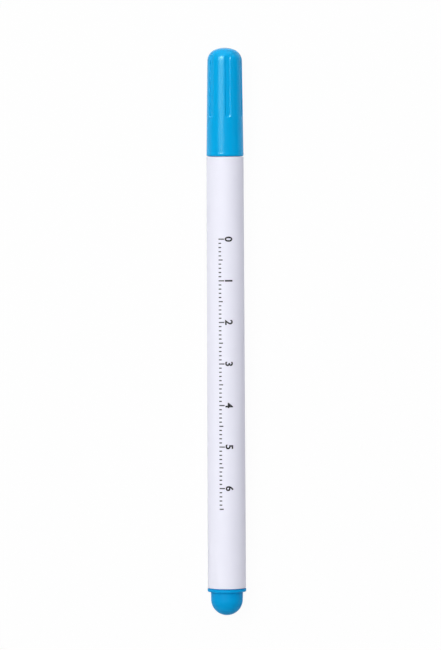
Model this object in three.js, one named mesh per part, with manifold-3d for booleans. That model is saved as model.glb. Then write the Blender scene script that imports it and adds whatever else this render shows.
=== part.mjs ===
// A capped fibre-tip marking pen for fabric, lying on its side.
// Millimetres. +Y runs along the pen from its end plug to its cap, +Z is up,
// and the origin is on the table, under the middle of the pen's length.

import * as THREE from "three";
import { mergeVertices } from "three/addons/utils/BufferGeometryUtils.js";
import Module from "manifold-3d";

const wasm = await Module();
wasm.setup();

// Facets round each turned piece, and round the thin nib
const sides = 48;
const nibSides = 24;

// Fits between the pieces
const pressGap = 0.03; // a pressed joint, on the radius
const seatGap = 0.05; // between two faces that meet
const slipGap = 0.07; // a loose sleeve, on the radius
const snapGap = 0.02; // snap bead past snap ridge, on the radius
const sealGap = 0.03; // sealing ring round the land, on the radius

// Barrel: an open moulded tube with a little draft
const barrelLength = 104.1;
const barrelFrontRadius = 4.47;
const barrelRearRadius = 4.62;
const barrelWall = 0.92;
const barrelEdge = 0.12; // broken outer edge at each end
const barrelLeadIn = 0.25; // chamfer of the bore at the rear
const ribCount = 4; // ribs that hold the reservoir off the bore
const ribHeight = 0.3; // at the front, where it is least
const ribWidth = 0.8;

// Front section: spigot, neck, seal land and nose in one moulding
const sectionSpigotLength = 8.0;
const sectionWall = 0.8;
const leadIn = 0.35; // how far a spigot's nose narrows, on the radius
const leadInLength = 0.8;
const notchCount = 4; // air notches where the reservoir meets the spigot
const notchWidth = 0.9;
const notchDepth = 1.2;
const neckSlip = 0.15; // between the neck and the cap's bore, on the radius
const neckEdge = 0.4;
const beadOffset = 2.4; // snap bead's middle, ahead of the barrel's front face
const beadProud = 0.08;
const beadWidth = 0.9;
const shoulderLength = 1.6;
const landLength = 4.2;
const noseStep = 0.2;
const noseLength = 3.6;
const noseLip = 0.55; // wall left round the nib at the nose's mouth
const ventCount = 2; // air grooves beside the nib
const ventWidth = 0.5;
const ventDepth = 0.25;

// Nib: a fibre rod with a bullet tip
const nibRadius = 0.95;
const nibFit = 0.05;
const nibProjection = 2.6;
const nibInsertion = 7.0; // its tail's reach into the reservoir
const nibTipRadius = 0.5;
const nibTipAngle = THREE.MathUtils.degToRad(19); // half angle of its taper
const nibTailRadius = 0.55;
const nibTailLength = 1.2;

// Cap shell: a fluted moulding with a domed end
const capLength = 26.1;
const capWall = 0.52; // of the skirt, round the neck
const capTaper = 0.29; // on the radius, from the rim to the dome
const crownRadius = 6.6;
const knuckleRadius = 3.0;
const crownThickness = 0.9;
const capRimProud = 0.03;
const capRimHeight = 0.85;
const capRimFlank = 0.12;
const capRimRound = 0.3;
const capMouthChamfer = 0.12;
const rimGap = 0.1; // between the cap's rim and the barrel
const skirtRoom = 0.3; // from the neck's end to the cap's narrow bore
const skirtStep = 0.25; // length of the cone between the two bores
const ridgeWidth = 0.6;
const upperBoreDraft = 0.06;
const innerDomeDepth = 2.3;

// Flutes of the cap
const fluteCount = 6;
const fluteDepth = 0.35;
const fluteWall = 0.45; // left between a flute and the bore
const fluteFloorWidth = 1.36;
const fluteFlank = 0.08; // how far each steep flank spreads outwards
const fluteLength = 16.9; // from the cap's end to the flute's lower end
const fluteTurn = THREE.MathUtils.degToRad(9.5); // first flute, round from straight up

// Cap liner: a soft cup that seals round the land
const linerWall = 0.5;
const linerCollarWall = 0.82; // at the sealing rings
const linerCollarLength = 4.5;
const linerStep = 0.8; // cone from the collar to the cup
const linerMouthGap = 0.25; // to the section's shoulder
const linerMouthDepth = 0.55;
const linerMouthSpread = 0.35;
const linerRingWidth = 0.7;
const linerRelief = 0.1; // between the two sealing rings
const linerHeadroom = 0.8; // past the nib's tip
const linerEndRound = 0.9;
const linerNoseRoom = 0.15; // inside the cup, round the nose
const domeRoom = 2.9; // from the liner's end to the inside of the dome

// Reservoir: a fibre core in a film sleeve
const wrapThickness = 0.12;
const wrapFit = 0.03;
const reservoirEndGap = 0.1;

// End plug: flange, domed knob and hollow spigot
const knobLength = 5.75;
const knobSlip = 0.06; // the knob in the cap's bore when the cap is pushed onto it
const knobTaper = 0.05;
const knobRootFillet = 0.15;
const flangeThickness = 0.85;
const flangeProud = 0.06;
const flangeEdge = 0.2;
const plugSpigotLength = 7.6;
const crushRibCount = 6;
const crushRibWidth = 0.5;
const crushRibHeight = 0.12;
const plugWall = 0.85;
const plugEndWall = 1.3;

// How far a cutting tool runs past the surface that it cuts, and the distance that welds two points
const overrun = 1;
const weld = 1e-5;

// Stations along the pen, from the tip of the plug's knob forwards
const flangeRear = knobLength;
const flangeFront = flangeRear + flangeThickness;
const barrelRear = flangeFront + seatGap;
const barrelFront = barrelRear + barrelLength;
const capRim = barrelFront + rimGap;
const capEnd = capRim + capLength;
const penLength = capEnd;

// Stations of the front section and the nib, back from the end of the cap
const linerEnd = capEnd - crownThickness - domeRoom;
const cupEnd = linerEnd - linerWall;
const nibFront = cupEnd - linerHeadroom;
const noseFront = nibFront - nibProjection;
const landFront = noseFront - noseLength;
const landRear = landFront - landLength;
const neckFront = landRear - shoulderLength;
const neckRear = barrelFront + seatGap;
const sectionRear = barrelFront - sectionSpigotLength;
const skirtTop = neckFront + skirtRoom;

// Stations of the snap bead, the plug's spigot and the reservoir
const beadRear = barrelFront + beadOffset - beadWidth / 2;
const beadFront = beadRear + beadWidth;
const plugSpigotFront = flangeFront + plugSpigotLength;
const reservoirRear = plugSpigotFront + reservoirEndGap;
const reservoirFront = sectionRear - reservoirEndGap;
const nibRear = reservoirFront - nibInsertion;

// A point of a turned profile: radius, and station along the pen
const at = (radius, station) => new THREE.Vector2(radius, station);

// The radius, at a station, of the straight line through two profile points
function radiusBetween(a, b, station) {
  return THREE.MathUtils.mapLinear(station, a.y, b.y, a.x, b.x);
}

// Radii of the barrel's bore and of what goes into it
const boreRear = at(barrelRearRadius - barrelWall, barrelRear);
const boreFront = at(barrelFrontRadius - barrelWall, barrelFront);
const sectionSpigotRadius = boreFront.x - pressGap;
const chamberRadius = sectionSpigotRadius - sectionWall;
const wrapOuter = boreFront.x - ribHeight - slipGap;
const wrapInner = wrapOuter - wrapThickness;
const coreRadius = wrapInner - wrapFit;
const crushRibRadius =
  (radiusBetween(boreRear, boreFront, plugSpigotFront) - pressGap) * Math.cos(Math.PI / sides);
const plugSpigotRadius = crushRibRadius - crushRibHeight;
const nibBore = nibRadius + nibFit;

// Radii of the cap and of what goes into it
const capBore = barrelFrontRadius - capWall;
const neckRadius = capBore - neckSlip;
const beadRadius = neckRadius + beadProud;
const ridgeRadius = beadRadius + snapGap;
const capRimRadius = barrelFrontRadius + capRimProud;
const capTopRadius = barrelFrontRadius - capTaper;
const upperBoreTop = capTopRadius - fluteDepth - fluteWall;
const landRadius = upperBoreTop - pressGap - linerCollarWall - sealGap;
const noseRoot = landRadius - noseStep;

// Radii of the plug
const flangeRadius = barrelRearRadius + flangeProud;
const knobRadius = capBore - knobSlip;

// The widest ring touches the table on one of its flat facets
const restHeight = Math.max(flangeRadius, capRimRadius) * Math.cos(Math.PI / sides);

// Materials
const bluePlastic = new THREE.MeshStandardMaterial({ color: "#0a9fdc", roughness: 0.3, metalness: 0 });
const whitePlastic = new THREE.MeshStandardMaterial({ color: "#ecebf7", roughness: 0.5, metalness: 0 });
const naturalPlastic = new THREE.MeshStandardMaterial({ color: "#e9eef0", roughness: 0.45, metalness: 0 });
const nibFibre = new THREE.MeshStandardMaterial({ color: "#3fa9de", roughness: 0.9, metalness: 0 });
const inkedFibre = new THREE.MeshStandardMaterial({ color: "#2f8fc9", roughness: 0.95, metalness: 0 });
const clearFilm = new THREE.MeshStandardMaterial({ color: "#dfe9ee", roughness: 0.25, metalness: 0 });

// Points along an arc of a profile, both ends included; angle 0 points outwards, a quarter turn forwards
function arc(centreRadius, centreStation, radius, from, to, steps) {
  return Array.from({ length: steps + 1 }, (_, i) => {
    const angle = from + ((to - from) * i) / steps;
    return at(centreRadius + radius * Math.cos(angle), centreStation + radius * Math.sin(angle));
  });
}

// A closed geometry with shared vertices and nothing but positions
function bare(geometry) {
  geometry.deleteAttribute("normal");
  geometry.deleteAttribute("uv");
  return mergeVertices(geometry, weld);
}

// A profile turned about the pen's axis, with a flat facet facing the table.
// A profile starts and ends on the axis, or closes on itself, and climbs on its outside.
function turned(profile, facets = sides) {
  return bare(new THREE.LatheGeometry(profile, facets, Math.PI / facets));
}

function toSolid(geometry) {
  const closed = bare(geometry);
  return new wasm.Manifold(
    new wasm.Mesh({
      numProp: 3,
      vertProperties: closed.getAttribute("position").array,
      triVerts: new Uint32Array(closed.index.array),
    }),
  );
}

function toGeometry(solid) {
  const mesh = solid.getMesh();
  return new THREE.BufferGeometry()
    .setAttribute("position", new THREE.BufferAttribute(mesh.vertProperties, 3))
    .setIndex(new THREE.BufferAttribute(mesh.triVerts, 1));
}

// Copies of one geometry, spaced evenly round the pen's axis
function around(count, geometry, start = 0) {
  return Array.from({ length: count }, (_, i) =>
    geometry.clone().rotateY(start + (i * 2 * Math.PI) / count),
  );
}

const joined = (body, pieces) => pieces.reduce((all, piece) => all.add(toSolid(piece)), toSolid(body));
const cut = (body, tools) => tools.reduce((all, tool) => all.subtract(toSolid(tool)), toSolid(body));

// A bar that lies along the pen, straight above its axis, between two radii and two stations
function bar(width, innerRadius, outerRadius, rear, front) {
  const box = new THREE.BoxGeometry(width, front - rear, outerRadius - innerRadius);
  return box.translate(0, (rear + front) / 2, (innerRadius + outerRadius) / 2);
}

// White tube with four ribs inside that hold the reservoir clear, so that air passes along it
function barrelGeometry() {
  const tube = turned([
    at(boreRear.x + barrelLeadIn, barrelRear),
    at(barrelRearRadius - barrelEdge, barrelRear),
    at(barrelRearRadius, barrelRear + barrelEdge),
    at(barrelFrontRadius, barrelFront - barrelEdge),
    at(barrelFrontRadius - barrelEdge, barrelFront),
    boreFront,
    at(boreRear.x, barrelRear + barrelLeadIn),
    at(boreRear.x + barrelLeadIn, barrelRear),
  ]);
  const ribRoot = boreRear.x + barrelWall / 2;
  const rib = bar(ribWidth, boreFront.x - ribHeight, ribRoot, reservoirRear, reservoirFront);
  return toGeometry(joined(tube, around(ribCount, rib, Math.PI / ribCount)));
}

// Nib holder: notched spigot in the barrel, neck with its snap bead, seal land and nose
function frontSectionGeometry() {
  const shell = turned([
    at(chamberRadius, sectionRear),
    at(sectionSpigotRadius - leadIn, sectionRear),
    at(sectionSpigotRadius, sectionRear + leadInLength),
    at(sectionSpigotRadius, neckRear),
    at(neckRadius, neckRear),
    at(neckRadius, beadRear),
    at(beadRadius, beadRear + beadWidth / 3),
    at(beadRadius, beadFront - beadWidth / 3),
    at(neckRadius, beadFront),
    at(neckRadius, neckFront - neckEdge),
    at(neckRadius - neckEdge, neckFront),
    at(landRadius, landRear),
    at(landRadius, landFront),
    at(noseRoot, landFront),
    at(nibBore + noseLip, noseFront),
    at(nibBore, noseFront),
    at(nibBore, neckFront),
    at(chamberRadius, neckFront - (chamberRadius - nibBore)),
    at(chamberRadius, sectionRear),
  ]);
  const notchFront = sectionRear + notchDepth;
  const notch = bar(notchWidth, 0, sectionSpigotRadius + overrun, sectionRear - overrun, notchFront);
  const vent = bar(ventWidth, 0, nibBore + ventDepth, neckFront - chamberRadius, noseFront + overrun);
  const tools = [...around(notchCount, notch), ...around(ventCount, vent, Math.PI / ventCount)];
  return toGeometry(cut(shell, tools));
}

// Fibre rod: blunt tail in the reservoir, bullet tip ahead of the nose
function nibGeometry() {
  const tip = arc(0, nibFront - nibTipRadius, nibTipRadius, nibTipAngle, Math.PI / 2, 4);
  const taperRear = tip[0].y - (nibRadius - tip[0].x) / Math.tan(nibTipAngle);
  const profile = [
    at(0, nibRear),
    at(nibTailRadius, nibRear),
    at(nibRadius, nibRear + nibTailLength),
    at(nibRadius, taperRear),
    ...tip.slice(0, -1),
    at(0, nibFront),
  ];
  return turned(profile, nibSides);
}

// Outer side of the cap, from its rim bead to where the dome's knuckle takes over
const capSideLow = at(barrelFrontRadius, capRim + capRimHeight);
const knuckleCentre = at(
  capTopRadius - knuckleRadius,
  capEnd - crownRadius + Math.sqrt((crownRadius - knuckleRadius) ** 2 - (capTopRadius - knuckleRadius) ** 2),
);
const capSideHigh = at(capTopRadius, knuckleCentre.y);

// Bore of the cap above the neck, where the liner is pressed in
const upperBoreLow = at(upperBoreTop + upperBoreDraft, skirtTop);
const upperBoreHigh = at(upperBoreTop, capEnd - crownThickness - innerDomeDepth);

// One flute, cut straight above the axis: a round-ended groove whose steep flanks spread outwards.
// Its floor runs parallel to the cap's side, so its upper end opens on the dome.
function fluteCutter() {
  const half = fluteFloorWidth / 2 + fluteFlank;
  const lowEnd = capEnd - fluteLength;
  const outline = new THREE.Shape()
    .moveTo(-half, fluteLength + overrun)
    .lineTo(-half, half)
    .absarc(0, half, half, Math.PI, 2 * Math.PI)
    .lineTo(half, fluteLength + overrun);
  const taper = Math.atan2(capSideLow.x - capSideHigh.x, capSideHigh.y - capSideLow.y);
  const groove = new THREE.ExtrudeGeometry(outline, {
    depth: overrun,
    curveSegments: 8,
    bevelThickness: fluteDepth,
    bevelSize: fluteFlank,
    bevelOffset: -fluteFlank,
    bevelSegments: 1,
  });
  return groove.rotateX(-taper).translate(0, lowEnd, radiusBetween(capSideLow, capSideHigh, lowEnd));
}

// The ridge inside the cap's mouth that clicks past the neck's bead and stays behind it
function snapRidge() {
  return [
    at(capBore, beadRear),
    at(ridgeRadius, beadRear - ridgeWidth / 3),
    at(ridgeRadius, beadRear - (ridgeWidth * 2) / 3),
    at(capBore, beadRear - ridgeWidth),
  ];
}

// Blue cap: rim bead, tapered side, domed end and six flutes; snap ridge and liner bore inside
function capShellGeometry() {
  const tangent = Math.PI / 2 - Math.asin(knuckleCentre.x / (crownRadius - knuckleRadius));
  const knuckle = arc(knuckleCentre.x, knuckleCentre.y, knuckleRadius, 0, tangent, 6);
  const crown = arc(0, capEnd - crownRadius, crownRadius, tangent, Math.PI / 2, 3);
  const rimEdge = arc(capRimRadius - capRimRound, capRim + capRimRound, capRimRound, -Math.PI / 2, 0, 3);
  const innerDome = arc(0, 0, 1, Math.PI / 2, 0, 5).map((point) =>
    at(point.x * upperBoreHigh.x, upperBoreHigh.y + point.y * innerDomeDepth),
  );
  const shell = turned([
    at(0, innerDome[0].y),
    ...innerDome.slice(1),
    upperBoreLow,
    at(capBore, skirtTop - skirtStep),
    ...snapRidge(),
    at(capBore, capRim + capMouthChamfer),
    at(capBore + capMouthChamfer, capRim),
    ...rimEdge,
    at(capRimRadius, capSideLow.y - capRimFlank),
    capSideLow,
    ...knuckle,
    ...crown.slice(1, -1),
    at(0, capEnd),
  ]);
  return toGeometry(cut(shell, around(fluteCount, fluteCutter(), fluteTurn)));
}

// The soft liner's inside, from its closed end out to its mouth: cup, then two sealing rings
function linerInside(mouth, cup) {
  const ring = landRadius + sealGap;
  const frontRingRear = landFront - linerRingWidth;
  const rearRing = mouth + linerMouthDepth;
  return [
    at(0, cupEnd),
    ...arc(cup - linerEndRound, cupEnd - linerEndRound, linerEndRound, Math.PI / 2, 0, 3),
    at(cup, landFront + linerRelief),
    at(ring, landFront),
    at(ring, frontRingRear),
    at(ring + linerRelief, frontRingRear - linerRelief),
    at(ring + linerRelief, rearRing + linerRingWidth + linerRelief),
    at(ring, rearRing + linerRingWidth),
    at(ring, rearRing),
    at(ring + linerMouthSpread, mouth),
  ];
}

// Soft inner cap: a collar pressed into the shell, and a closed cup over the nib
function capLinerGeometry() {
  const mouth = landRear + linerMouthGap;
  const collarFront = mouth + linerCollarLength;
  const cup = noseRoot + linerNoseRoom;
  const outer = cup + linerWall;
  const outerRound = linerEndRound + linerWall;
  const collarAt = (station) => radiusBetween(upperBoreLow, upperBoreHigh, station) - pressGap;
  return turned([
    ...linerInside(mouth, cup),
    at(collarAt(mouth), mouth),
    at(collarAt(collarFront), collarFront),
    at(outer, collarFront + linerStep),
    ...arc(outer - outerRound, linerEnd - outerRound, outerRound, 0, Math.PI / 2, 3),
    at(0, linerEnd),
  ]);
}

// Ink store: a fibre bundle with a blind hole that the nib's tail has pierced
function reservoirCoreGeometry() {
  return turned([
    at(0, reservoirRear),
    at(coreRadius, reservoirRear),
    at(coreRadius, reservoirFront),
    at(nibBore, reservoirFront),
    at(nibBore, nibRear - nibFit),
    at(0, nibRear - nibFit),
  ]);
}

function reservoirWrapGeometry() {
  return turned([
    at(wrapInner, reservoirRear),
    at(wrapOuter, reservoirRear),
    at(wrapOuter, reservoirFront),
    at(wrapInner, reservoirFront),
    at(wrapInner, reservoirRear),
  ]);
}

// The plug's outside, from the tip of its knob to the end of its spigot
function plugOutside() {
  const domeRadius = knobRadius - knobTaper;
  const flangeCrest = flangeRadius - flangeEdge;
  return [
    at(0, 0),
    ...arc(0, domeRadius, domeRadius, -Math.PI / 2, 0, 8).slice(1),
    ...arc(knobRadius + knobRootFillet, flangeRear - knobRootFillet, knobRootFillet, Math.PI, Math.PI / 2, 2),
    ...arc(flangeCrest, flangeRear + flangeEdge, flangeEdge, -Math.PI / 2, 0, 2),
    ...arc(flangeCrest, flangeFront - flangeEdge, flangeEdge, 0, Math.PI / 2, 2),
    at(plugSpigotRadius, flangeFront),
    at(plugSpigotRadius, plugSpigotFront - leadInLength),
    at(plugSpigotRadius - leadIn, plugSpigotFront),
  ];
}

// Blue plug: domed knob that the cap can be pushed onto, flange, and a hollow spigot with crush ribs
function endPlugGeometry() {
  const bore = plugSpigotRadius - plugWall;
  const body = turned([
    ...plugOutside(),
    at(bore, plugSpigotFront),
    ...arc(0, plugEndWall + bore, bore, 0, -Math.PI / 2, 5).slice(0, -1),
    at(0, plugEndWall),
  ]);
  const ribRoot = plugSpigotRadius - plugWall / 2;
  const ribRear = flangeFront - flangeThickness / 2;
  const rib = bar(crushRibWidth, ribRoot, crushRibRadius, ribRear, plugSpigotFront - leadInLength);
  return toGeometry(joined(body, around(crushRibCount, rib)));
}

function piece(name, geometry, material) {
  geometry.computeVertexNormals();
  const mesh = new THREE.Mesh(geometry, material);
  mesh.name = name;
  return mesh;
}

const pen = new THREE.Group();
pen.add(
  piece("cap_shell", capShellGeometry(), bluePlastic),
  piece("cap_liner", capLinerGeometry(), naturalPlastic),
  piece("barrel", barrelGeometry(), whitePlastic),
  piece("front_section", frontSectionGeometry(), whitePlastic),
  piece("nib", nibGeometry(), nibFibre),
  piece("reservoir_core", reservoirCoreGeometry(), inkedFibre),
  piece("reservoir_wrap", reservoirWrapGeometry(), clearFilm),
  piece("end_plug", endPlugGeometry(), bluePlastic),
);
pen.position.set(0, -penLength / 2, restHeight);

export default pen;
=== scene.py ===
import math

import bmesh
import bpy
import numpy as np
from mathutils import Matrix, Vector


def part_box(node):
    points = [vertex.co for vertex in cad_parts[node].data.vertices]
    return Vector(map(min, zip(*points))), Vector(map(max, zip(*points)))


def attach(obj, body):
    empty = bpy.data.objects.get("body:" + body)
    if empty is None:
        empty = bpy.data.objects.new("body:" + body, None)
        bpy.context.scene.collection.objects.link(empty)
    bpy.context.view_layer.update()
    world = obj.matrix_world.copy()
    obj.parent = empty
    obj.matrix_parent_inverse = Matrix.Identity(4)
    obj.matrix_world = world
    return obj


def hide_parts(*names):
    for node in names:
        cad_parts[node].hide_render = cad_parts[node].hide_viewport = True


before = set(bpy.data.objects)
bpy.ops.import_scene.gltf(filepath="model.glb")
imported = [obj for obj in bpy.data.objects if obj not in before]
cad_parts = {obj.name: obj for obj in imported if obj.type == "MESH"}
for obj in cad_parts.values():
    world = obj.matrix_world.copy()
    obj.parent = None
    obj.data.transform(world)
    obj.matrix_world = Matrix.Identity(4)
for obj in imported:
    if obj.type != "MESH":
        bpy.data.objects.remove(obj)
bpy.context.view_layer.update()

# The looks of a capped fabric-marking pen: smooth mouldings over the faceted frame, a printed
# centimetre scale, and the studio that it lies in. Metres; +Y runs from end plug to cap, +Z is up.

MM = 0.001
FACETS = 48  # round each of the frame's round pieces
SMOOTH = math.cos(math.pi / FACETS)  # a smooth radius that just touches those facets from inside
COLUMNS = 192  # round a moulding
SLIM_COLUMNS = 96  # round the nib, the ink bundle and its film
TINY = 1e-9  # stands in for 0 in a divisor


# Places and radii that come from the frame

def ends(node):
    """Where a node starts and ends along the pen."""
    low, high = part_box(node)
    return low.y, high.y


def widest(node):
    """The largest radius of a round node, as its facets have it."""
    low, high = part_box(node)
    return (high.x - low.x) / 2


plug_low, plug_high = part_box("end_plug")
AXIS_HEIGHT = (plug_low.z + plug_high.z) / 2
knob_tip, plug_front = ends("end_plug")
barrel_rear, barrel_front = ends("barrel")
section_rear, nose_front = ends("front_section")
nib_rear, nib_front = ends("nib")
cap_rim, cap_end = ends("cap_shell")
liner_mouth, liner_end = ends("cap_liner")
core_rear, core_front = ends("reservoir_core")

barrel_rear_radius = widest("barrel")
flange_radius = widest("end_plug")
cap_rim_radius = widest("cap_shell")
collar_radius = widest("cap_liner")
bead_radius = widest("front_section")
nib_radius = widest("nib")
wrap_radius = widest("reservoir_wrap")
core_radius = widest("reservoir_core")

# Sizes that the frame's boxes don't give, as the frame has them
barrel_taper = 0.15 * MM * SMOOTH
barrel_front_radius = barrel_rear_radius - barrel_taper
barrel_wall = 0.92 * MM
spigot_fit = 0.03 * MM
seat_gap = 0.05 * MM
nib_fit = 0.05 * MM


# Surfaces

def rounded(corners, steps=6):
    """Turns corners (radius, station, fillet) into a profile.

    A corner with a fillet becomes an arc that touches both its sides: the arc starts and ends a
    tangent length, fillet over the tangent of half the corner's angle, away from the corner.
    One more point beside each end keeps the straight stretches straight when shaded.
    """
    most = 0.45  # of a side, that the fillet at one of its ends may take
    points = []
    for i, (radius, station, fillet) in enumerate(corners):
        here = np.array((radius, station), float)
        if fillet == 0 or i in (0, len(corners) - 1):
            points.append(here)
            continue
        before = np.array(corners[i - 1][:2]) - here
        after = np.array(corners[i + 1][:2]) - here
        room = most * min(np.linalg.norm(before), np.linalg.norm(after))
        before /= np.linalg.norm(before)
        after /= np.linalg.norm(after)
        half = math.acos(np.clip(before @ after, -1, 1)) / 2
        reach = min(fillet / math.tan(half), room)
        size = reach * math.tan(half)
        middle = here + (before + after) / np.linalg.norm(before + after) * size / math.sin(half)
        start = here + before * reach - middle
        end = here + after * reach - middle
        sweep = math.pi - 2 * half
        share = np.linspace(0, 1, steps + 1)[:, None]
        arc = start * np.sin((1 - share) * sweep) + end * np.sin(share * sweep)
        arc = middle + arc / math.sin(sweep)
        support = min(0.5 * size, 0.1 * room)
        points += [here + before * (reach + support), *arc, here + after * (reach + support)]
    return np.array(points)


def arc_profile(centre_radius, centre_station, radius, start, stop, steps):
    """Points (radius, station) on an arc; angle 0 points outwards and a quarter turn forwards."""
    angle = np.linspace(start, stop, steps + 1)
    return np.stack([centre_radius + radius * np.cos(angle), centre_station + radius * np.sin(angle)], 1)


def unfilleted(points):
    """A profile's points as corners that stay as they are."""
    return [(radius, station, 0) for radius, station in points]


def put_mesh(name, vertices, faces):
    """A smooth-shaded mesh object from its vertices and faces."""
    mesh = bpy.data.meshes.new(name)
    mesh.from_pydata(vertices.tolist(), [], faces)
    mesh.shade_smooth()
    mesh.update()
    piece = bpy.data.objects.new(name, mesh)
    bpy.context.scene.collection.objects.link(piece)
    return piece


def lathe_mesh(name, radius, station, angle, ring):
    """A mesh through a grid of points given by radius, station and angle from straight up.

    A point is (r sin a, station, axis height + r cos a). The columns close round the axis. The
    rows of a ring close on themselves; other rows start and end on the axis, in one point each.
    """
    grid = np.stack([radius * np.sin(angle), station, AXIS_HEIGHT + radius * np.cos(angle)], 2)
    tips = grid[[0, -1], 0]
    grid = grid if ring else grid[1:-1]
    vertices = grid.reshape(-1, 3)
    index = np.arange(len(vertices)).reshape(grid.shape[:2])
    low = index if ring else index[:-1]
    high = np.roll(index, -1, 0) if ring else index[1:]
    faces = np.stack([low, np.roll(low, -1, 1), np.roll(high, -1, 1), high], 2).reshape(-1, 4).tolist()
    if not ring:
        start, end = len(vertices), len(vertices) + 1
        vertices = np.concatenate([vertices, tips])
        here, there = index[0], np.roll(index[0], -1)
        faces += np.stack([np.full_like(here, start), there, here], 1).tolist()
        here, there = index[-1], np.roll(index[-1], -1)
        faces += np.stack([np.full_like(here, end), here, there], 1).tolist()
    return put_mesh(name, vertices, faces)


def turned(name, profile, columns=COLUMNS):
    """A profile (radius, station) turned about the pen's axis. It starts and ends on the axis, or
    closes on itself."""
    ring = np.allclose(profile[0], profile[-1])
    rows = profile[:-1] if ring else profile
    angle = np.linspace(-math.pi, math.pi, columns, endpoint=False)
    radius, station, angle = np.broadcast_arrays(rows[:, :1], rows[:, 1:], angle[None, :])
    return lathe_mesh(name, radius, station, angle, ring)


def dense(start, stop, spacing):
    """Evenly spaced values, both ends included."""
    return np.linspace(start, stop, max(2, round(abs(stop - start) / spacing) + 1))


def fade(value, start, stop):
    """1 up to start, 0 from stop on, and smooth between them."""
    share = np.clip((value - start) / (stop - start), 0, 1)
    return 1 - share * share * (3 - 2 * share)


# Cap

crown_radius = 6.6 * MM
knuckle_radius = 3.0 * MM
cap_side_taper = 0.29 * MM
cap_rim_proud = 0.03 * MM  # how far the bead at the rim stands out
cap_side_low = cap_rim_radius - cap_rim_proud
cap_side_top = cap_side_low - cap_side_taper
cap_side_start = cap_rim + 0.85 * MM
knuckle_middle = cap_side_top - knuckle_radius
crown_middle = cap_end - crown_radius
knuckle_station = crown_middle + math.sqrt((crown_radius - knuckle_radius) ** 2 - knuckle_middle ** 2)
crown_lean = math.acos(knuckle_middle / (crown_radius - knuckle_radius))  # where the crown starts
crown_station = knuckle_station + knuckle_radius * math.sin(crown_lean)
cap_side_slope = cap_side_taper / (knuckle_station - cap_side_start)
neck_bore = cap_side_low - 0.52 * MM
ridge_radius = bead_radius + 0.02 * MM
ridge_station = barrel_front + 1.95 * MM

flute_count = 6
flute_turn = math.radians(10.4)
flute_half_width = 0.72 * MM
flute_depth = 0.23 * MM
flute_steep = 0.05 * MM  # how far a flute's left side spreads, seen with the cap's end up
flute_slope = 0.25 * MM  # how far its right side does
flute_toe = 0.2 * MM  # how much further its two ends do
flute_length = 16.9 * MM
flute_lip = 0.12 * MM  # its least depth, where it ends on the dome
flute_round = cap_end - flute_length + flute_half_width  # where its half-round lower end starts
arch_round = cap_end - 2.42 * MM  # where its half-round upper end starts
flute_levelling = 0.05 * MM  # how gently its floor passes into the lip
flute_widest = (0.8, 0.6)  # rightwards and endwards: where round its outline the side spreads most
bend_fade = (1.0 * MM, 2.2 * MM)  # how far from a flute's line the bent grid starts and stops fading
flute_pitch = 2 * math.pi / flute_count

# A flute's side, as shares of its spread and of the flute's depth: a crisp edge, a soft foot
flute_side = rounded([(-0.4, 0, 0), (0, 0, 0.14), (1, 1, 0.55), (2, 1, 0)], 8)


def flute_offsets():
    """Distances from a flute's centre line, up to half way to the next flute: close together
    near its outline, closest at the outline's crisp edge, and wide between flutes."""
    half_pitch = cap_side_low * flute_pitch / 2
    return np.concatenate([
        dense(0, 0.28 * MM, 0.14 * MM),
        dense(0.34 * MM, flute_half_width - 0.06 * MM, 0.06 * MM),
        flute_half_width + dense(-0.048 * MM, 0.024 * MM, 0.012 * MM),
        flute_half_width + dense(0.06 * MM, 0.36 * MM, 0.1 * MM),
        dense(flute_half_width + 0.56 * MM, half_pitch, 0.25 * MM),
    ])


def side_radius(station):
    """The cap's side, on the straight line of its taper."""
    return cap_side_low - (station - cap_side_start) * cap_side_slope


def cap_radius(station):
    """The cap's outer radius without its flutes: its side, a knuckle arc that is tangent to it,
    and a flatter crown arc that is tangent to the knuckle. An arc's radius is that of its centre
    plus the root of its own radius squared less the distance from the centre's station squared."""
    past_knuckle, past_crown = station - knuckle_station, station - crown_middle
    knuckle = knuckle_middle + np.sqrt(np.maximum(knuckle_radius ** 2 - past_knuckle ** 2, 0))
    crown = np.sqrt(np.maximum(crown_radius ** 2 - past_crown ** 2, 0))
    on_side, on_knuckle = station < knuckle_station, station < crown_station
    return np.select([on_side, on_knuckle], [side_radius(station), knuckle], crown)


def cap_outside():
    """The cap's outside from the top of its rim bead to its end. Rows lie round a flute's two ends
    as closely as the columns beside its middle, and far apart on the plain side."""
    plain_rows = 1.5 * MM
    gap = 0.4 * MM
    side_gap = 0.3 * MM
    knuckle_rows = 0.1 * MM
    knuckle_turn = math.radians(2.5)
    crown_rows = 14
    followed = 1.2 * MM  # how far past the start of a flute's upper end the rows repeat the columns
    offsets = flute_offsets()
    beyond = arch_round + offsets[offsets < followed]
    lean = dense(math.asin((beyond[-1] - knuckle_station) / knuckle_radius), crown_lean, knuckle_turn)
    crown_angle = np.linspace(crown_lean, math.pi / 2, crown_rows)
    stations = np.concatenate([
        dense(cap_side_start + side_gap, flute_round - offsets[-1] - gap, plain_rows),
        flute_round - offsets[::-1],
        dense(flute_round + gap, knuckle_station - side_gap, plain_rows),
        dense(knuckle_station, arch_round - knuckle_rows, knuckle_rows),
        beyond,
        knuckle_station + knuckle_radius * np.sin(lean[1:]),
        crown_middle + crown_radius * np.sin(crown_angle[1:]),
    ])
    return np.stack([cap_radius(stations), stations], 1)


def past_ends(station):
    """How far a station lies past the straight part of a flute: below 0 at its lower end, above 0
    at its upper one."""
    return np.minimum(station - flute_round, 0) + np.maximum(station - arch_round, 0)


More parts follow.
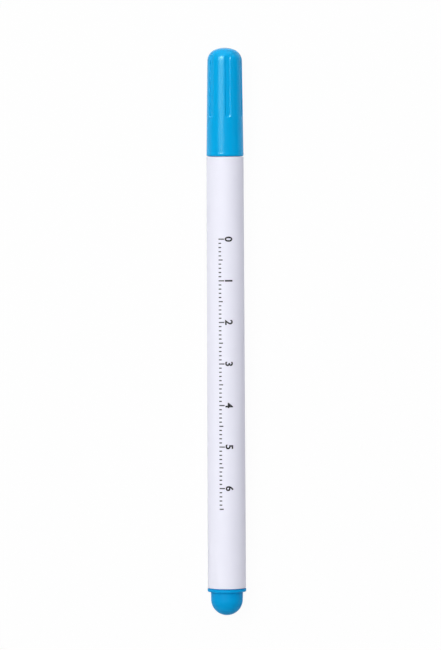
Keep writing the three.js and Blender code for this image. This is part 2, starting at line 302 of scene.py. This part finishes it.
def bent_to_flutes(outside, offset):
    """The grid bent to the flutes' outline: distance across a flute, and station, for each point.

    Round the centre of a flute's half-round end, a point whose larger coordinate is m moves to
    the circle of radius m, so that squares become circles. Further out this fades.
    """
    u = offset[None, :]
    station = outside[:, 1:]
    end = past_ends(station)
    reach = np.maximum(abs(u), abs(end))
    bend = reach / np.maximum(np.hypot(u, end), TINY)
    bend = np.where(reach > 0, 1 + (bend - 1) * fade(reach, *bend_fade), 1)
    return u * bend, station + end * (bend - 1)


def fluted(outside, offset):
    """The cap's outside with its flutes: radius, station and angle from the flute for each point.

    Near a flute, a point's angle is the arcsine of its distance across over the radius, which on
    the dome counts as two flute depths less than the side's at least. Between flutes the angle is
    that distance over the radius at the rim. Each point sinks by a share of the flute's depth,
    which grows from the outline inwards over the spread of the side: least on the left, more on
    the right and at the two ends. The depth is that of a flat floor parallel to the cap's side. On
    the dome, which drops below the side's line, it never gets less than the lip.
    """
    across, station = bent_to_flutes(outside, offset)
    radius = cap_radius(station)
    turning = np.maximum(radius, cap_side_top - 2 * flute_depth)
    near = fade(abs(offset[None, :]), *bend_fade)
    angle = near * np.arcsin(across / turning) + (1 - near) * offset[None, :] / cap_side_low
    end = abs(past_ends(station))
    away = np.hypot(across, end)
    endward = end / np.maximum(away, TINY)
    rightward = across / np.maximum(away, TINY)
    facing = flute_widest[0] * rightward + flute_widest[1] * endward
    spread = flute_steep + (flute_slope - flute_steep) * (1 + facing) / 2 + flute_toe * endward
    share = np.interp((flute_half_width - away) / spread, *flute_side.T)
    side = side_radius(station)
    floor = side - (side - flute_depth) / np.cos(angle)
    spare = floor - np.maximum(side - radius, 0) - flute_lip
    depth = flute_lip + (spare + np.hypot(spare, flute_levelling)) / 2
    return radius - share * depth, station, angle


def moulded_cap():
    """The whole cap shell in one profile: the inside from the dome out to the mouth, the rim, and
    then the outside back to the end."""
    least_wall = 0.45 * MM
    upper_bore = cap_side_top - flute_depth - least_wall
    dome_height = 2.3 * MM
    dome_start = cap_end - 3.2 * MM
    skirt_top = cap_end - 16.8 * MM
    rim_round = 0.38 * MM
    outside = cap_outside()
    dome = arc_profile(0, 0, 1, math.pi / 2, 0, 14) * (upper_bore, dome_height) + (0, dome_start)
    rim = arc_profile(cap_rim_radius - rim_round, cap_rim + rim_round, rim_round, -math.pi / 2, 0, 10)
    inside = rounded([
        *unfilleted(dome),
        (upper_bore + 0.06 * MM, skirt_top, 0.08 * MM),
        (neck_bore, skirt_top - 0.25 * MM, 0.15 * MM),
        (neck_bore, ridge_station, 0.05 * MM),
        (ridge_radius, ridge_station - 0.2 * MM, 0.1 * MM),
        (ridge_radius, ridge_station - 0.4 * MM, 0.1 * MM),
        (neck_bore, ridge_station - 0.6 * MM, 0.05 * MM),
        (neck_bore, cap_rim + 0.12 * MM, 0.06 * MM),
        (neck_bore + 0.1 * MM, cap_rim, 0.04 * MM),
        *unfilleted(rim),
        (cap_rim_radius, cap_side_start - 0.12 * MM, 0.05 * MM),
        (cap_side_low, cap_side_start, 0.05 * MM),
        (*outside[0], 0),
    ])
    inside[0, 0] = 0
    half = flute_offsets()
    offset = np.tile(np.concatenate([-half[-2:0:-1], half]), flute_count)
    around = np.repeat(flute_turn + np.arange(flute_count) * flute_pitch, len(offset) // flute_count)
    plain = np.broadcast_arrays(inside[:-1, :1], inside[:-1, 1:], offset[None, :] / cap_side_low)
    radius, station, angle = (np.concatenate(pair) for pair in zip(plain, fluted(outside, offset)))
    return lathe_mesh("cap_moulding", radius, station, angle + around[None, :], ring=False)


def soft_liner():
    """The liner: a cup over the nib, two rings that seal on the land, and a collar in the cap."""
    land = 2.5 * MM * SMOOTH
    ring = land + 0.03 * MM
    relief = 0.1 * MM
    land_front = nose_front - 3.6 * MM
    cup = land - 0.05 * MM
    outer = cup + 0.5 * MM
    cup_end = liner_end - 0.5 * MM
    ring_rear = liner_mouth + 0.55 * MM
    return turned("liner_moulding", rounded([
        (0, cup_end, 0),
        (cup, cup_end, 0.9 * MM),
        (cup, land_front + relief, 0.05 * MM),
        (ring, land_front, 0.1 * MM),
        (ring, land_front - 0.7 * MM, 0.1 * MM),
        (ring + relief, land_front - 0.8 * MM, 0.05 * MM),
        (ring + relief, ring_rear + 0.8 * MM, 0.05 * MM),
        (ring, ring_rear + 0.7 * MM, 0.1 * MM),
        (ring, ring_rear, 0.2 * MM),
        (ring + 0.35 * MM, liner_mouth, 0.1 * MM),
        (collar_radius, liner_mouth, 0.1 * MM),
        (collar_radius - 0.02 * MM, liner_mouth + 4.5 * MM, 0.2 * MM),
        (outer, liner_mouth + 5.3 * MM, 0.2 * MM),
        (outer, liner_end, 1.4 * MM),
        (0, liner_end, 0),
    ]))


# Barrel and what is inside it

def barrel_radius(station):
    """The barrel's outer radius, on the straight line of its taper."""
    return np.interp(station, [barrel_rear, barrel_front], [barrel_rear_radius, barrel_front_radius])


def moulded_barrel():
    """The barrel: a tapered tube whose bore has a lead-in at the rear."""
    bore_rear = barrel_rear_radius - barrel_wall
    bore_front = barrel_front_radius - barrel_wall
    lead_in = 0.25 * MM
    edge = 0.12 * MM
    start = (bore_rear, (barrel_rear + barrel_front) / 2, 0)
    return turned("barrel_moulding", rounded([
        start,
        (bore_rear, barrel_rear + lead_in, 0.05 * MM),
        (bore_rear + lead_in, barrel_rear, 0.05 * MM),
        (barrel_rear_radius, barrel_rear, edge),
        (barrel_front_radius, barrel_front, edge),
        (bore_front, barrel_front, 0.05 * MM),
        start,
    ]))


def moulded_section():
    """The nib holder: spigot, neck with its snap bead, land that the liner seals on, and nose."""
    land = 2.5 * MM * SMOOTH
    spigot = barrel_front_radius - barrel_wall - spigot_fit
    chamber = spigot - 0.8 * MM
    neck = bead_radius - 0.08 * MM
    nib_bore = nib_radius + nib_fit
    neck_rear = barrel_front + seat_gap
    land_front = nose_front - 3.6 * MM
    land_rear = land_front - 4.2 * MM
    neck_front = land_rear - 1.6 * MM
    bead = barrel_front + 2.4 * MM
    start = (chamber, barrel_front, 0)
    return turned("section_moulding", rounded([
        start,
        (chamber, section_rear, 0.05 * MM),
        (spigot - 0.35 * MM, section_rear, 0.05 * MM),
        (spigot, section_rear + 0.8 * MM, 0.2 * MM),
        (spigot, neck_rear, 0.02 * MM),
        (neck, neck_rear, 0.06 * MM),
        (neck, bead - 0.45 * MM, 0.1 * MM),
        (bead_radius, bead - 0.15 * MM, 0.25 * MM),
        (bead_radius, bead + 0.15 * MM, 0.25 * MM),
        (neck, bead + 0.45 * MM, 0.1 * MM),
        (neck, neck_front - 0.4 * MM, 0.2 * MM),
        (neck - 0.4 * MM, neck_front, 0.2 * MM),
        (land, land_rear, 0.3 * MM),
        (land, land_front, 0.08 * MM),
        (land - 0.2 * MM, land_front, 0.05 * MM),
        (nib_bore + 0.55 * MM, nose_front, 0.12 * MM),
        (nib_bore, nose_front, 0.06 * MM),
        (nib_bore, neck_front, 0.2 * MM),
        (chamber, neck_front - (chamber - nib_bore), 0.2 * MM),
        start,
    ]))


def fibre_nib():
    """The nib: a blunt tail, a straight rod, a taper and a round tip."""
    tip = 0.5 * MM
    lean = math.radians(19)
    round_tip = arc_profile(0, nib_front - tip, tip, lean, math.pi / 2, 12)
    taper_rear = round_tip[0][1] - (nib_radius - round_tip[0][0]) / math.tan(lean)
    return turned("nib_rod", rounded([
        (0, nib_rear, 0),
        (0.55 * MM, nib_rear, 0.1 * MM),
        (nib_radius, nib_rear + 1.2 * MM, 0.3 * MM),
        (nib_radius, taper_rear, 0.4 * MM),
        *unfilleted(round_tip[:-1]),
        (0, nib_front, 0),
    ]), SLIM_COLUMNS)


def ink_core():
    """The fibre bundle, with the hole that the nib's tail has pierced in its front."""
    hole = nib_radius + nib_fit
    return turned("ink_bundle", rounded([
        (0, core_rear, 0),
        (core_radius, core_rear, 0.1 * MM),
        (core_radius, core_front, 0.1 * MM),
        (hole, core_front, 0.05 * MM),
        (hole, nib_rear - nib_fit, 0.05 * MM),
        (0, nib_rear - nib_fit, 0),
    ]), SLIM_COLUMNS)


def film_sleeve():
    """The thin film round the bundle."""
    inner = wrap_radius - 0.12 * MM
    start = (inner, (core_rear + core_front) / 2, 0)
    return turned("film_sleeve", rounded([
        start,
        (inner, core_rear, 0.01 * MM),
        (wrap_radius, core_rear, 0.03 * MM),
        (wrap_radius, core_front, 0.03 * MM),
        (inner, core_front, 0.01 * MM),
        start,
    ]), SLIM_COLUMNS)


def moulded_plug():
    """The end plug: a domed knob, a thin flange with a fine groove between it and the barrel, and
    a hollow spigot. The knob is as wide as the neck that the cap grips, so that it takes the cap."""
    knob = neck_bore - 0.06 * MM
    dome_radius = knob - 0.05 * MM
    flange_rear = knob_tip + 5.75 * MM
    flange_front = flange_rear + 0.85 * MM
    spigot = barrel_rear_radius - barrel_wall - 0.17 * MM
    bore = spigot - 0.85 * MM
    groove_depth = 0.5 * MM
    groove_width = 0.17 * MM
    groove_floor = 0.13 * MM
    dome = arc_profile(0, knob_tip + dome_radius, dome_radius, -math.pi / 2, 0, 32)
    hollow = arc_profile(0, knob_tip + 1.3 * MM + bore, bore, 0, -math.pi / 2, 12)
    profile = rounded([
        *unfilleted(dome),
        (knob, flange_rear, 0.15 * MM),
        (flange_radius, flange_rear, 0.2 * MM),
        (flange_radius, flange_front - groove_width, 0.05 * MM),
        (flange_radius - groove_depth, flange_front - groove_floor, 0.02 * MM),
        (flange_radius - groove_depth, flange_front, 0.02 * MM),
        (spigot, flange_front, 0.05 * MM),
        (spigot, plug_front - 0.8 * MM, 0.1 * MM),
        (spigot - 0.35 * MM, plug_front, 0.1 * MM),
        (bore, plug_front, 0.1 * MM),
        *unfilleted(hollow),
    ])
    profile[0, 0] = profile[-1, 0] = 0
    return turned("plug_moulding", profile)


# Printed scale: flat shapes (along, across, height) laid on the barrel

scale_start = 22.5 * MM
scale_length = 65
scale_side = -1.7 * MM  # where its ticks start, across the barrel
tick_width = 0.28 * MM
ink_height = 0.012 * MM
ink_root = 0.02 * MM
tick_lengths = {10: 1.35 * MM, 5: 1.0 * MM, 1: 0.65 * MM}
digit_size = 2.5 * MM
digit_gap = 0.25 * MM
digit_boldness = 0.03  # added to its strokes, as a share of its size
wrap_step = 0.2 * MM  # how fine the print is cut, to follow the barrel's round
wrap_reach = 3 * MM  # how far to either side it may be cut
weld = 1e-7


def on_barrel(flat):
    """Lays flat points on the barrel: along runs from the scale's zero towards the plug, across
    becomes an angle, across over the barrel's radius, and height is added to that radius."""
    along, across, height = flat.T
    station = scale_start - along
    radius = barrel_radius(station)
    angle = across / radius
    radius = radius + height
    return np.stack([radius * np.sin(angle), station, AXIS_HEIGHT + radius * np.cos(angle)], 1)


def scale_ticks():
    """One closed bar for each millimetre, longer at each fifth and tenth. A bar is a rectangle of
    ink width and height, carried across the barrel in short steps and closed at both ends."""
    marks = np.arange(scale_length + 1)
    lengths = np.select(
        [marks % 10 == 0, marks % 5 == 0],
        [tick_lengths[10], tick_lengths[5]],
        tick_lengths[1],
    )
    steps = 8
    across = scale_side + lengths[:, None] * np.linspace(0, 1, steps)[None, :]
    corners = np.array([(-0.5, -1), (0.5, -1), (0.5, 1), (-0.5, 1)])
    along = marks[:, None, None] * MM + corners[None, None, :, 0] * tick_width
    height = np.where(corners[:, 1] > 0, ink_height, -ink_root)[None, None, :]
    shape = (len(marks), steps, 4)
    flat = np.stack([np.broadcast_to(part, shape) for part in (along, across[:, :, None], height)], 3)
    index = np.arange(len(marks) * steps * 4).reshape(shape)
    low, high = index[:, :-1], index[:, 1:]
    sides = np.stack([low, high, np.roll(high, -1, 2), np.roll(low, -1, 2)], 3).reshape(-1, 4)
    start, end = index[:, 0], index[:, -1, ::-1]
    faces = np.concatenate([sides, start.reshape(-1, 4), end.reshape(-1, 4)])
    return flat.reshape(-1, 3), faces.tolist()


def digit_mesh(body):
    """A digit of the built-in face as a thin closed plate, standing on the line and centred."""
    text = bpy.data.curves.new("digit", "FONT")
    text.body = body
    text.align_x = "CENTER"
    text.offset = digit_boldness
    text.extrude = (ink_height + ink_root) / digit_size / 2
    text.resolution_u = 8
    carrier = bpy.data.objects.new("digit", text)
    bpy.context.scene.collection.objects.link(carrier)
    bpy.context.view_layer.update()
    mesh = bpy.data.meshes.new_from_object(carrier.evaluated_get(bpy.context.evaluated_depsgraph_get()))
    bpy.data.objects.remove(carrier)
    return mesh


def scale_digits():
    """The numbers beside the long ticks, cut into narrow strips so that they follow the barrel."""
    plates = bmesh.new()
    for number in range(scale_length // 10 + 1):
        mesh = digit_mesh(str(number))
        mesh.transform(Matrix.Scale(digit_size, 4))
        place = Matrix.Translation((
            number * 10 * MM,
            scale_side + tick_lengths[10] + digit_gap,
            (ink_height - ink_root) / 2,
        ))
        mesh.transform(place)
        plates.from_mesh(mesh)
        bpy.data.meshes.remove(mesh)
    bmesh.ops.remove_doubles(plates, verts=plates.verts, dist=weld)
    for across in np.arange(-wrap_reach, wrap_reach, wrap_step):
        bmesh.ops.bisect_plane(
            plates,
            geom=[*plates.verts, *plates.edges, *plates.faces],
            plane_co=(0, across, 0),
            plane_no=(0, 1, 0),
        )
    flat = np.array([v.co for v in plates.verts])
    plates.verts.index_update()
    faces = [[v.index for v in face.verts] for face in plates.faces]
    plates.free()
    return flat, faces


def printed_scale(name, flat, faces):
    """A part of the scale as a piece, shaded flat, because its edges are sharp."""
    piece = put_mesh(name, on_barrel(flat), faces)
    piece.data.shade_flat()
    return piece


# Finishes

class Socket:
    """A shader value. Arithmetic on it adds Math nodes to its finish."""

    def __init__(self, finish, socket):
        self.finish = finish
        self.socket = socket

    def _math(self, operation, first, second):
        return self.finish.node("ShaderNodeMath", {"operation": operation}, {0: first, 1: second})

    def __add__(self, other):
        return self._math("ADD", self, other)

    def __radd__(self, other):
        return self._math("ADD", other, self)

    def __mul__(self, other):
        return self._math("MULTIPLY", self, other)

    def __rmul__(self, other):
        return self._math("MULTIPLY", other, self)


class Finish:
    """A material, or the world, whose nodes are added by calls."""

    def __init__(self, owner):
        owner.use_nodes = True
        self.owner = owner
        self.tree = owner.node_tree
        self.tree.nodes.clear()

    def node(self, kind, settings=None, inputs=None, output=0):
        """Adds a node. Its settings are set first, then each input gets a value or a link."""
        added = self.tree.nodes.new(kind)
        for key, value in (settings or {}).items():
            setattr(added, key, value)
        for key, value in (inputs or {}).items():
            if isinstance(value, Socket):
                self.tree.links.new(value.socket, added.inputs[key])
            else:
                added.inputs[key].default_value = value
        return Socket(self, added.outputs[output]) if added.outputs else None

    def place(self, size):
        """Object coordinates divided by the size, in metres, of a pattern across, along and up."""
        where = self.node("ShaderNodeTexCoord", output="Object")
        return self.node("ShaderNodeMapping", {}, {"Vector": where, "Scale": [1 / s for s in size]})

    def noise(self, size, detail=3.0, roughness=0.5):
        """Noise from 0 to 1 whose blotches have the given size across, along and up."""
        inputs = {"Vector": self.place(size), "Scale": 1.0, "Detail": detail, "Roughness": roughness}
        return self.node("ShaderNodeTexNoise", {}, inputs)

    def between(self, value, low, high):
        """0 below low, 1 above high, and smooth between them."""
        settings = {"interpolation_type": "SMOOTHSTEP"}
        inputs = {"Value": value, "From Min": low, "From Max": high}
        return self.node("ShaderNodeMapRange", settings, inputs)

    def mix(self, share, first, second):
        """A colour between two, at a share of the second."""
        return self.node("ShaderNodeMix", {"data_type": "RGBA"}, {0: share, 6: first, 7: second}, output=2)

    def bump(self, height, depth):
        """A surface raised by height times depth, in metres."""
        return self.node("ShaderNodeBump", {}, {"Height": height, "Strength": 1.0, "Distance": depth})

    def surface(self, **inputs):
        """The finish's own shader. Names of inputs have _ for spaces."""
        named = {key.replace("_", " "): value for key, value in inputs.items()}
        shader = self.node("ShaderNodeBsdfPrincipled", {}, named)
        self.node("ShaderNodeOutputMaterial", {}, {"Surface": shader})
        return self.owner


def srgb(red, green, blue):
    """A colour given as it looks on screen, from 0 to 255, as the shader takes it."""
    def linear(part):
        share = part / 255
        return share / 12.92 if share <= 0.04045 else ((share + 0.055) / 1.055) ** 2.4
    return (linear(red), linear(green), linear(blue), 1.0)


def grey(level):
    return (level, level, level, 1.0)


def new_finish(name):
    return Finish(bpy.data.materials.new(name))


plastic_ior = 1.49
white_gloss = 0.12
blue_glint = (0.62, 0.9, 0.6, 1.0)  # the tint of what the blue plastic mirrors


def glossy_blue(name, light, dark, roughness, gloss, grain_depth):
    """Sky-blue moulded plastic: faint flow marks along the pen, a soft grain over wide and shallow
    sink marks, and fine rubs that dull the gloss."""
    sink_depth = 3  # times the grain's
    finish = new_finish(name)
    flow = finish.noise((1.6 * MM, 22 * MM, 1.6 * MM), detail=2.0)
    grain = finish.noise((0.35 * MM, 0.35 * MM, 0.35 * MM))
    sink = finish.noise((2.5 * MM, 5 * MM, 2.5 * MM), detail=1.0)
    streaks = finish.noise((0.12 * MM, 2.4 * MM, 0.12 * MM), detail=4.0, roughness=0.6)
    rubs = finish.between(streaks, 0.6, 0.72)
    return finish.surface(
        Base_Color=finish.mix(flow, light, dark),
        Roughness=roughness + rubs * 0.07 + grain * 0.05,
        IOR=plastic_ior,
        Specular_IOR_Level=gloss,
        Specular_Tint=blue_glint,
        Normal=finish.bump(grain + sink * sink_depth, grain_depth),
    )


def satin_white(name, light, dark, roughness):
    """White moulded plastic with a fine even grain and barely uneven tone."""
    finish = new_finish(name)
    tone = finish.noise((3 * MM, 14 * MM, 3 * MM))
    grain = finish.noise((0.16 * MM, 0.16 * MM, 0.16 * MM), detail=4.0, roughness=0.6)
    return finish.surface(
        Base_Color=finish.mix(tone, light, dark),
        Roughness=roughness + grain * 0.1,
        IOR=plastic_ior,
        Specular_IOR_Level=white_gloss,
        Normal=finish.bump(grain, 0.004 * MM),
    )


def milky_liner():
    """Natural polyethylene: milky, a little cloudy, waxy to look at."""
    finish = new_finish("milky_liner")
    cloud = finish.noise((1.2 * MM, 2.5 * MM, 1.2 * MM))
    return finish.surface(
        Base_Color=finish.mix(cloud, srgb(238, 242, 243), srgb(222, 230, 234)),
        Roughness=0.32 + cloud * 0.12,
        IOR=1.5,
        Normal=finish.bump(cloud, 0.01 * MM),
    )


def wet_fibre(name, light, dark, fibre):
    """Bonded fibres that run along the pen, stained by the ink between them."""
    finish = new_finish(name)
    strands = finish.noise((fibre, fibre * 60, fibre), roughness=0.6)
    stain = finish.noise((0.5 * MM, 1.4 * MM, 0.5 * MM), detail=2.0)
    shade = finish.between(strands * 0.65 + stain * 0.35, 0.3, 0.7)
    return finish.surface(
        Base_Color=finish.mix(shade, light, dark),
        Roughness=0.75 + strands * 0.2,
        IOR=1.4,
        Normal=finish.bump(strands, 0.03 * MM),
    )


def clear_film():
    """Thin film with faint wrinkles across it."""
    finish = new_finish("clear_film")
    wrinkles = finish.noise((2 * MM, 0.8 * MM, 2 * MM))
    return finish.surface(
        Base_Color=finish.mix(wrinkles, srgb(214, 226, 234), srgb(232, 240, 244)),
        Roughness=0.18 + wrinkles * 0.12,
        IOR=1.5,
        Normal=finish.bump(wrinkles, 0.02 * MM),
    )


def printed_ink():
    """Black screen ink, a little uneven where the screen's mesh has lain."""
    finish = new_finish("printed_ink")
    speckle = finish.noise((0.09 * MM, 0.09 * MM, 0.09 * MM), detail=2.0)
    return finish.surface(
        Base_Color=finish.mix(speckle, srgb(10, 10, 13), srgb(34, 33, 38)),
        Roughness=0.36 + speckle * 0.16,
        IOR=1.5,
        Normal=finish.bump(speckle, 0.002 * MM),
    )


# Studio

camera_height = 1.07
camera_foot = 42.3 * MM  # the station that the camera stands straight over
aim_station = 1.72 * MM
pen_offset = 1.27 * MM  # the pen lies this far right of the picture's middle
camera_roll = math.radians(-0.26)
picture_height = 156.7 * MM
picture_side = 36.0  # the camera's long side, as its lens counts it


def studio_camera():
    """A long lens straight over the cap's rim, aimed at the middle of the picture."""
    data = bpy.data.cameras.new("studio_camera")
    data.sensor_width = picture_side
    data.lens = picture_side * camera_height / picture_height
    data.clip_start = 0.01
    data.clip_end = 20
    camera = bpy.data.objects.new("studio_camera", data)
    bpy.context.scene.collection.objects.link(camera)
    tilt = math.atan2(camera_foot - aim_station, camera_height)
    camera.matrix_world = (
        Matrix.Translation((-pen_offset, camera_foot, AXIS_HEIGHT + camera_height))
        @ Matrix.Rotation(-tilt, 4, "X")
        @ Matrix.Rotation(camera_roll, 4, "Z")
    )
    bpy.context.scene.camera = camera


box_distance = 1.3  # from the pen to each soft box


def soft_box(name, aside, ahead, spread, radiance, station=0, colour=(1, 1, 1)):
    """A soft box over the pen, with two sides square to it.

    Seen from the station, the box lies so many degrees aside of straight up, towards +X, and
    ahead of it, towards the cap, and its spread is its width and height in degrees. Its watts
    give the radiance over its own area.
    """
    data = bpy.data.lights.new(name, "AREA")
    data.color = colour
    data.shape = "RECTANGLE"
    data.size, data.size_y = (2 * box_distance * math.tan(math.radians(angle / 2)) for angle in spread)
    data.energy = radiance * math.pi * data.size * data.size_y
    light = bpy.data.objects.new(name, data)
    bpy.context.scene.collection.objects.link(light)
    aside, ahead = math.radians(aside), math.radians(ahead)
    toward = Vector((math.sin(aside) * math.cos(ahead), math.sin(ahead), math.cos(aside) * math.cos(ahead)))
    across = Vector((math.cos(aside), 0, -math.sin(aside)))
    turn = Matrix((across, toward.cross(across), toward)).transposed().to_4x4()
    light.matrix_world = Matrix.Translation(Vector((0, station, 0)) + toward * box_distance) @ turn
    return light


def fill_box(*place, **settings):
    """A soft box that lights surfaces but isn't mirrored in them."""
    soft_box(*place, **settings).visible_glossy = False


def glint_box(*place, **settings):
    """A soft box that is only mirrored in glossy surfaces."""
    soft_box(*place, **settings).visible_diffuse = False


def studio_world():
    """A dim surround, cooler towards the right, bright beyond the cap and paler behind the plug."""
    world = bpy.data.worlds.new("studio")
    bpy.context.scene.world = world
    sky = Finish(world)
    way = sky.node("ShaderNodeTexCoord", output="Generated")
    side = sky.node("ShaderNodeSeparateXYZ", {}, {"Vector": way}, output="X")
    ahead = sky.node("ShaderNodeSeparateXYZ", {}, {"Vector": way}, output="Y")
    tone = sky.mix(sky.between(side, -0.1, 0.9), grey(0.10), (0.04, 0.04, 0.06, 1.0))
    tone = sky.mix(sky.between(ahead, 0.4, 0.95), tone, grey(1.5))
    tone = sky.mix(sky.between(ahead, -0.2, -0.9), tone, grey(0.4))
    around = sky.node("ShaderNodeBackground", {}, {"Color": tone, "Strength": 1.0})
    sky.node("ShaderNodeOutputWorld", {}, {"Surface": around})


def studio_floor():
    """A wide pale floor that the camera sees nearly white, with part of the pen's shadow. It is
    paper that takes light and shadow, mixed with plain white in shares for each kind of ray."""
    size = 6.0  # half its side
    seen_white = 0.96
    mirrored_white = 0.3
    data = bpy.data.meshes.new("floor")
    corners = [(-size, -size, 0), (size, -size, 0), (size, size, 0), (-size, size, 0)]
    data.from_pydata(corners, [], [(0, 1, 2, 3)])
    floor = bpy.data.objects.new("floor", data)
    bpy.context.scene.collection.objects.link(floor)
    finish = new_finish("floor_paper")
    paper = finish.node("ShaderNodeBsdfDiffuse", {}, {"Color": (0.82, 0.82, 0.825, 1.0)})
    glow = finish.node("ShaderNodeEmission", {}, {"Color": grey(1.0), "Strength": 1.0})
    seen = finish.node("ShaderNodeLightPath", output="Is Camera Ray")
    mirrored = finish.node("ShaderNodeLightPath", output="Is Glossy Ray")
    through = finish.node("ShaderNodeLightPath", output="Is Transmission Ray")
    share = seen * seen_white + (mirrored + through) * mirrored_white
    mixed = finish.node("ShaderNodeMixShader", {}, {0: share, 1: paper, 2: glow})
    finish.node("ShaderNodeOutputMaterial", {}, {"Surface": mixed})
    data.materials.append(finish.owner)


def dress(piece, body, node, material):
    """Gives a piece its material, and sets it on its body in its node's place."""
    piece.data.materials.append(material)
    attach(piece, body)
    if node:
        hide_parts(node)


studio_camera()
studio_world()
studio_floor()
fill_box("key_fill", -22, 14, (34, 30), 5.7)
fill_box("left_fill", -75, 10, (30, 30), 0.4)
fill_box("top_fill", 0, 0, (53, 53), 0.7)
fill_box("right_fill", 55, 10, (26, 30), 1.1, colour=(0.88, 0.86, 1.0))
glint_box("main_glint", -26, 16.8, (30.5, 27.4), 12.4, station=0.055)
glint_box("core_glint", -23, 34, (18, 14), 52.0, station=0.066)

cap_blue = glossy_blue("cap_blue", srgb(0, 169, 229), srgb(0, 164, 225), 0.18, 0.2, 0.0035 * MM)
plug_blue = glossy_blue("plug_blue", srgb(0, 160, 223), srgb(0, 154, 218), 0.45, 0.1, 0.006 * MM)
barrel_white = satin_white("barrel_white", srgb(238, 238, 249), srgb(233, 233, 245), 0.45)
section_white = satin_white("section_white", srgb(240, 240, 248), srgb(234, 235, 244), 0.4)
nib_fibre = wet_fibre("nib_fibre", srgb(138, 202, 232), srgb(24, 118, 188), 0.07 * MM)
core_fibre = wet_fibre("core_fibre", srgb(66, 158, 214), srgb(24, 112, 184), 0.05 * MM)
print_black = printed_ink()

dress(moulded_cap(), "cap", "cap_shell", cap_blue)
dress(soft_liner(), "cap", "cap_liner", milky_liner())
dress(moulded_barrel(), "pen_body", "barrel", barrel_white)
dress(moulded_section(), "pen_body", "front_section", section_white)
dress(fibre_nib(), "pen_body", "nib", nib_fibre)
dress(ink_core(), "pen_body", "reservoir_core", core_fibre)
dress(film_sleeve(), "pen_body", "reservoir_wrap", clear_film())
dress(moulded_plug(), "pen_body", "end_plug", plug_blue)
dress(printed_scale("scale_ticks", *scale_ticks()), "pen_body", None, print_black)
dress(printed_scale("scale_digits", *scale_digits()), "pen_body", None, print_black)

bpy.context.scene.view_settings.view_transform = "Standard"
